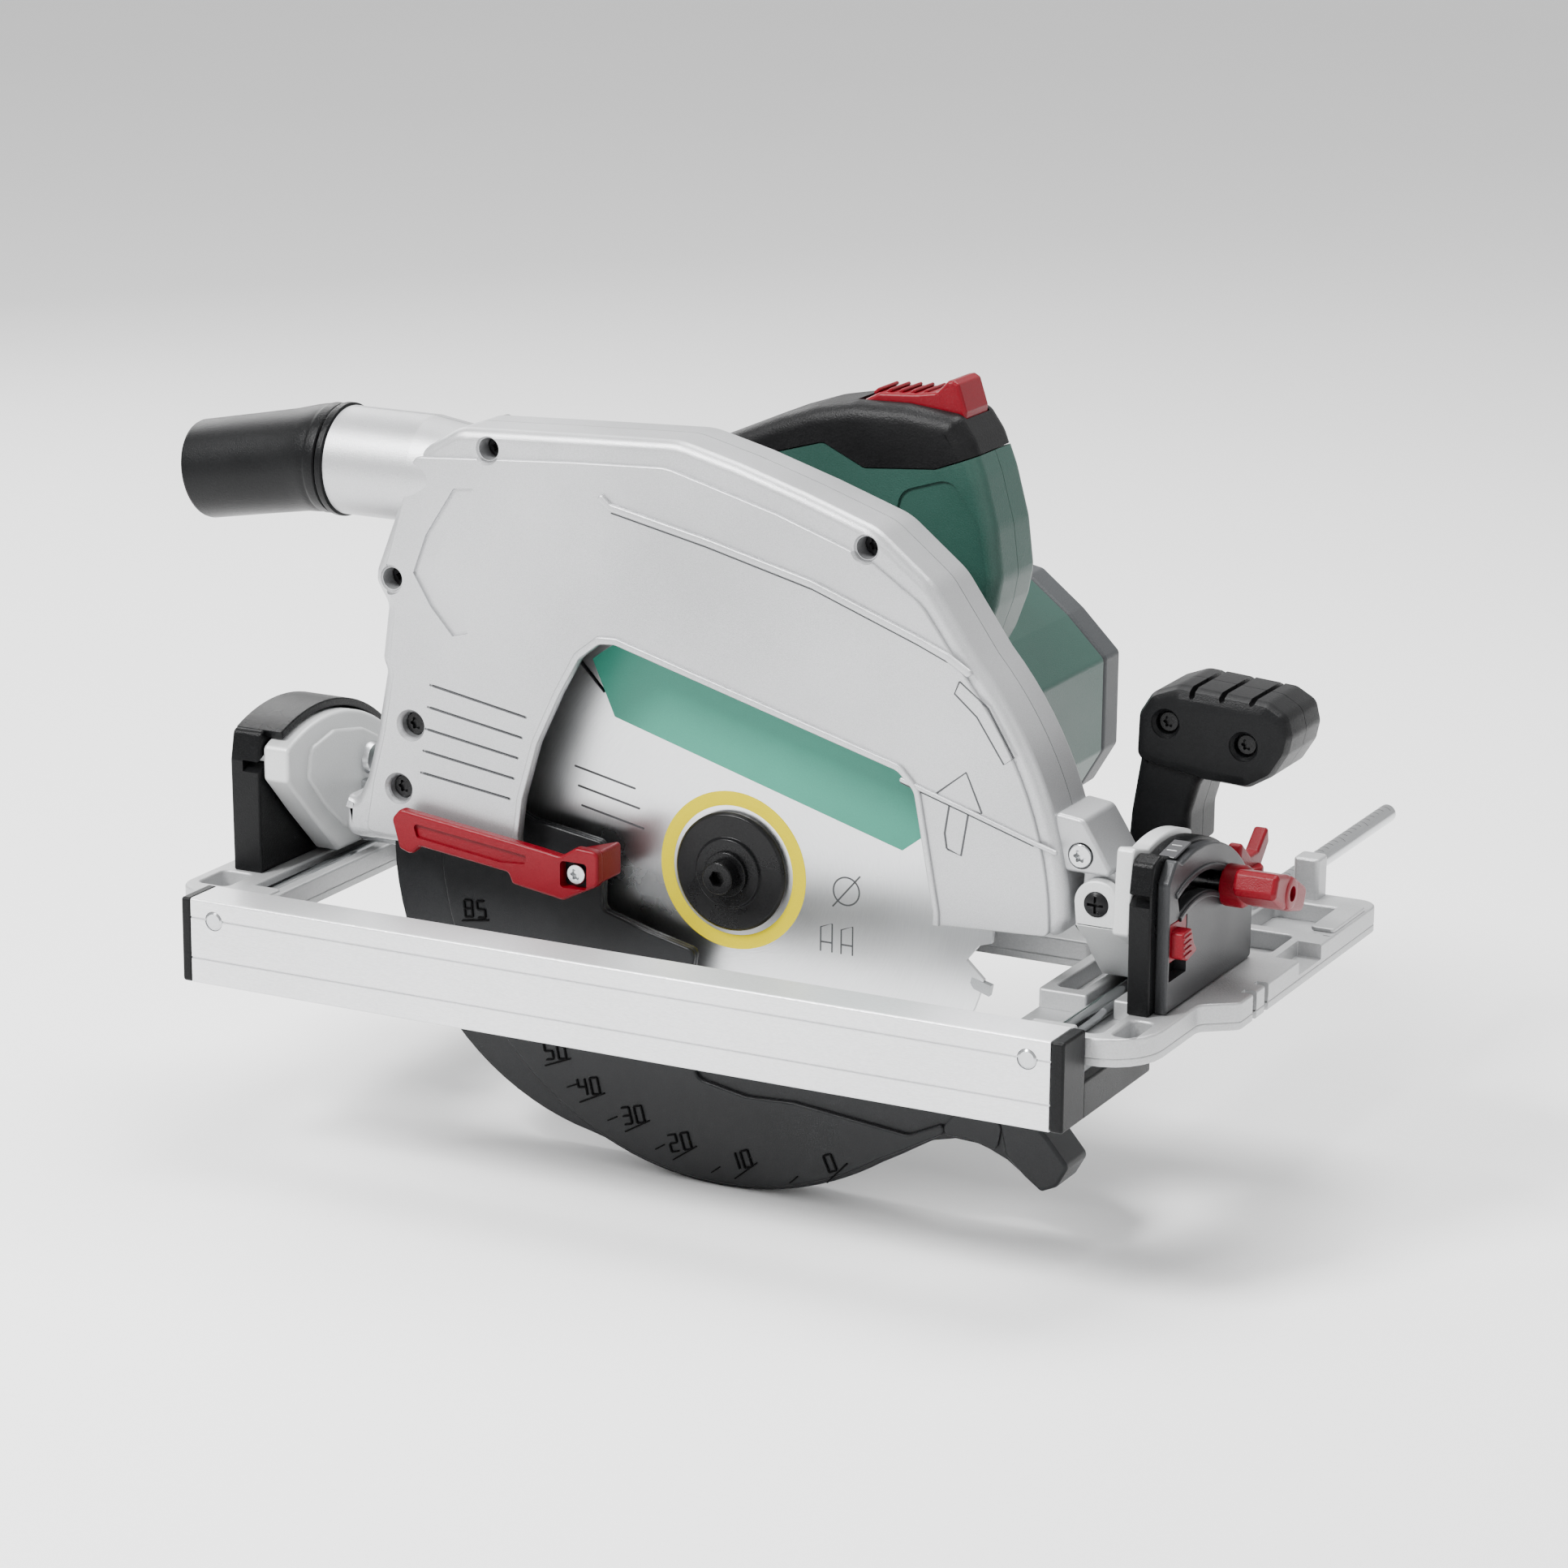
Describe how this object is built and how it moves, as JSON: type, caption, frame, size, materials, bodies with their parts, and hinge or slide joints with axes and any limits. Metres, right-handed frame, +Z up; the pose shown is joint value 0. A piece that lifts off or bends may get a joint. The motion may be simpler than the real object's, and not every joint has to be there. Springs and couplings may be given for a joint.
{
  "type": "circular saw",
  "caption": "Hand-held circular saw with a swinging lower guard, bevelling cast base, sliding parallel fence and dust elbow.",
  "frame": {"origin": "on the sole plane, directly under the arbor, in the middle plane of the blade", "axes": "+X forward in the cutting direction, +Y from the blade towards the motor, +Z up"},
  "size_m": [0.4714, 0.3798, 0.3225],
  "materials": {
    "cast_aluminium": "satin, as cast",
    "aluminium_extrusion": "satin anodised",
    "silver_paint": "fine-grain satin",
    "light_casting": "satin",
    "dark_casting": "satin",
    "guard_paint": "satin",
    "steel": "brushed",
    "polished_steel": "polished",
    "black_steel": "blackened",
    "carbide": "ground",
    "green_plastic": "fine texture",
    "dark_plastic": "fine texture",
    "black_plastic": "fine texture",
    "red_plastic": "satin",
    "soft_grip": "matte, soft",
    "copper_winding": "varnished",
    "brass_parts": "satin",
    "ivory_plastic": "matte"
  },
  "bodies": {
    "base": {"base_plate": "cast_aluminium", "front_quadrant": "dark_casting", "rear_quadrant": "dark_casting", "quadrant_screws": "steel"},
    "bevel_frame": {"front_sector": "light_casting", "rear_sector": "light_casting", "front_bracket": "light_casting", "pivot_screw": "black_steel", "depth_guide": "steel", "bevel_bolts": "steel", "aux_handle_near": "black_plastic", "aux_handle_far": "black_plastic", "aux_handle_screws": "black_steel"},
    "saw_head": {"upper_guard_near": "silver_paint", "upper_guard_far": "silver_paint", "dust_spout": "silver_paint", "guard_screws": "black_steel", "lug_screw": "steel", "gear_case": "silver_paint", "motor_housing": "green_plastic", "motor_end_cap": "dark_plastic", "housing_screws": "black_steel", "handle_near": "green_plastic", "handle_far": "green_plastic", "handle_grip": "soft_grip", "cord_inlet": "black_plastic", "stator": "copper_winding", "bearings": "polished_steel", "brush_gear": "brass_parts", "switch_module": "ivory_plastic", "guard_spring": "steel"},
    "swing_guard": {"lower_guard": "guard_paint", "retract_lever": "red_plastic", "lever_screw": "black_steel"},
    "blade_shaft": {"saw_blade": "steel", "carbide_tips": "carbide", "inner_flange": "steel", "outer_flange": "black_steel", "blade_bolt": "black_steel", "spindle": "steel", "drive_gear": "steel"},
    "rotor": {"rotor_shaft": "steel", "armature": "copper_winding", "commutator": "brass_parts", "cooling_fan": "black_plastic"},
    "fence": {"fence_profile": "aluminium_extrusion", "fence_caps": "black_plastic", "guide_rods": "polished_steel"},
    "front_clamp": {"front_rod_clamp": "red_plastic"},
    "rear_clamp": {"rear_rod_clamp": "red_plastic"},
    "front_knob": {"front_bevel_knob": "red_plastic"},
    "rear_knob": {"rear_bevel_knob": "red_plastic"},
    "stop_slider": {"bevel_stop_slider": "red_plastic"},
    "depth_lever": {"depth_lock_lever": "black_plastic"},
    "trigger": {"trigger": "red_plastic"},
    "lock_button": {"lock_off_button": "red_plastic"},
    "dust_elbow": {"dust_adapter": "black_plastic"},
    "spindle_lock": {"spindle_lock": "black_plastic"}
  },
  "joints": [
    {"name": "bevel_tilt", "type": "hinge", "parent": "base", "child": "bevel_frame", "pos_m": [0, 0, 0], "axis": [1, 0, 0], "range_deg": [0, 45]},
    {"name": "depth_swing", "type": "hinge", "parent": "bevel_frame", "child": "saw_head", "pos_m": [0.165, 0, 0.048], "axis": [0, 1, 0], "range_deg": [0, 30]},
    {"name": "guard_swing", "type": "hinge", "parent": "saw_head", "child": "swing_guard", "pos_m": [0, 0, 0.0325], "axis": [0, 1, 0], "range_deg": [0, 115], "stiffness_Nm_per_rad": 0.45, "springref_deg": -68.75},
    {"name": "blade_spin", "type": "hinge", "parent": "saw_head", "child": "blade_shaft", "pos_m": [0, 0, 0.0325], "axis": [0, 1, 0], "continuous": true},
    {"name": "rotor_spin", "type": "hinge", "parent": "saw_head", "child": "rotor", "pos_m": [0.016, 0, 0.0645], "axis": [0, 1, 0], "continuous": true},
    {"name": "fence_slide", "type": "slide", "parent": "base", "child": "fence", "axis": [0, -1, 0], "range_m": [0, 0.13]},
    {"name": "front_clamp_turn", "type": "hinge", "parent": "base", "child": "front_clamp", "pos_m": [0.1667, 0.128, 0.02], "axis": [0, 0, 1], "range_deg": [0, 180]},
    {"name": "rear_clamp_turn", "type": "hinge", "parent": "base", "child": "rear_clamp", "pos_m": [-0.189, 0.128, 0.02], "axis": [0, 0, 1], "range_deg": [0, 180]},
    {"name": "front_knob_turn", "type": "hinge", "parent": "bevel_frame", "child": "front_knob", "pos_m": [0.2, 0.02666, 0.0481], "axis": [1, 0, 0], "range_deg": [0, 180]},
    {"name": "rear_knob_turn", "type": "hinge", "parent": "bevel_frame", "child": "rear_knob", "pos_m": [-0.216, 0.02666, 0.0481], "axis": [-1, 0, 0], "range_deg": [0, 180]},
    {"name": "bevel_stop_slide", "type": "slide", "parent": "base", "child": "stop_slider", "axis": [0, 0, -1], "range_m": [0, 0.0065]},
    {"name": "depth_lever_turn", "type": "hinge", "parent": "saw_head", "child": "depth_lever", "pos_m": [-0.1485, 0.03, 0.031], "axis": [0, 1, 0], "range_deg": [0, 45]},
    {"name": "trigger_press", "type": "slide", "parent": "saw_head", "child": "trigger", "axis": [0, 0, 1], "range_m": [0, 0.005], "stiffness_N_per_m": 900, "springref_m": -0.003},
    {"name": "lock_button_press", "type": "slide", "parent": "saw_head", "child": "lock_button", "axis": [0, 0, -1], "range_m": [0, 0.003], "stiffness_N_per_m": 900, "springref_m": -0.003},
    {"name": "dust_elbow_turn", "type": "hinge", "parent": "saw_head", "child": "dust_elbow", "pos_m": [-0.178, -0.004, 0.181], "axis": [1, 0, 0], "continuous": true},
    {"name": "spindle_lock_press", "type": "slide", "parent": "saw_head", "child": "spindle_lock", "axis": [0, 1, 0], "range_m": [0, 0.002], "stiffness_N_per_m": 900, "springref_m": -0.003}
  ],
  "couplings": [
    {"joint": "rotor_spin", "follows": "blade_spin", "ratio": -2.9286}
  ]
}
